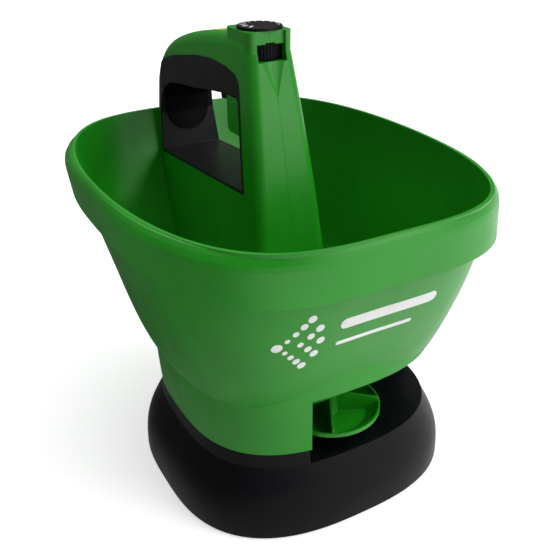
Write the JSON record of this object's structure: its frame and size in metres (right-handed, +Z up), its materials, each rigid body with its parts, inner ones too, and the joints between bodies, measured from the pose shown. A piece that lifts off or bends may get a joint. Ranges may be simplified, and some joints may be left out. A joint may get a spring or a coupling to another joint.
{
  "type": "garden spreader",
  "caption": "Hand-held battery garden spreader: green hopper round a handle tower, black flared base, spinning impeller, trigger, setting dial and battery door.",
  "frame": {"origin": "centre of the base on the floor", "axes": "+Z up, front (throwing side) towards -Y, symmetric about X=0 but for the throwing opening"},
  "size_m": [0.2726, 0.3268, 0.329],
  "materials": {
    "green_plastic": "satin moulded",
    "black_plastic": "fine moulded grain",
    "soft_black": "soft satin",
    "rubber_black": "matt",
    "white_plastic": "natural acetal",
    "lime_plastic": "satin",
    "white_print": "printed",
    "steel": "zinc plated",
    "dark_steel": "laminated",
    "nickel": "nickel plated",
    "brass": "sintered",
    "cell_jacket": "printed sleeve"
  },
  "bodies": {
    "frame_body": {"hopper": "green_plastic", "outlet_plate": "black_plastic", "base_shell": "black_plastic", "base_cover": "black_plastic", "rubber_feet": "rubber_black", "base_screws": "steel", "motor_can": "steel", "motor_bushes": "brass", "motor_endcap": "white_plastic", "motor_mount": "black_plastic", "battery_tray": "black_plastic", "battery_cells": "cell_jacket", "battery_contacts": "nickel", "door_pin": "steel", "door_lugs": "black_plastic", "tower_left": "green_plastic", "tower_right": "green_plastic", "liner_left": "soft_black", "liner_right": "soft_black", "trigger_block": "green_plastic", "trigger_pin": "steel", "trigger_spring": "steel", "crank_pin": "steel", "crank_bracket": "black_plastic", "trigger_switch": "black_plastic", "grip_pad": "rubber_black", "pointer_insert": "lime_plastic", "tower_screws": "steel"},
    "trigger_lever": {"trigger": "black_plastic"},
    "rod": {"push_rod": "steel"},
    "bell_crank": {"crank": "white_plastic"},
    "gate": {"shutter": "white_plastic"},
    "dial_knob": {"dial": "black_plastic", "dial_marks": "white_print", "dial_clip": "steel"},
    "spinner": {"impeller": "green_plastic", "impeller_shaft": "steel", "rotor": "dark_steel", "agitator": "black_plastic"},
    "door": {"battery_door": "black_plastic"}
  },
  "joints": [
    {"name": "trigger_hinge", "type": "hinge", "parent": "frame_body", "child": "trigger_lever", "pos_m": [0, 0.046, 0.272], "axis": [1, 0, 0], "range_deg": [0, 9], "stiffness_Nm_per_rad": 1.2, "springref_deg": -5.73, "deforming": ["trigger_spring"]},
    {"name": "push_rod_slide", "type": "slide", "parent": "frame_body", "child": "rod", "axis": [0, -0.179, -0.9839], "range_m": [0, 0.0035]},
    {"name": "crank_hinge", "type": "hinge", "parent": "frame_body", "child": "bell_crank", "pos_m": [0, 0.002, 0.112], "axis": [1, 0, 0], "range_deg": [0, 33.45]},
    {"name": "shutter_slide", "type": "slide", "parent": "frame_body", "child": "gate", "axis": [0, 1, 0], "range_m": [0, 0.01266]},
    {"name": "dial_turn", "type": "hinge", "parent": "frame_body", "child": "dial_knob", "pos_m": [0, 0.046, 0.31], "axis": [0, 0, 1], "range_deg": [0, 270]},
    {"name": "impeller_spin", "type": "hinge", "parent": "frame_body", "child": "spinner", "pos_m": [0, -0.0557, 0.06], "axis": [0, 0, 1], "continuous": true},
    {"name": "battery_door_hinge", "type": "hinge", "parent": "frame_body", "child": "door", "pos_m": [0, 0.087, 0.0044], "axis": [1, 0, 0], "range_deg": [0, 95]}
  ],
  "couplings": [
    {"joint": "trigger_hinge", "follows": "push_rod_slide", "rad_per_m": 44.88},
    {"joint": "crank_hinge", "follows": "push_rod_slide", "rad_per_m": 166.8},
    {"joint": "shutter_slide", "follows": "push_rod_slide", "ratio": 3.617}
  ]
}
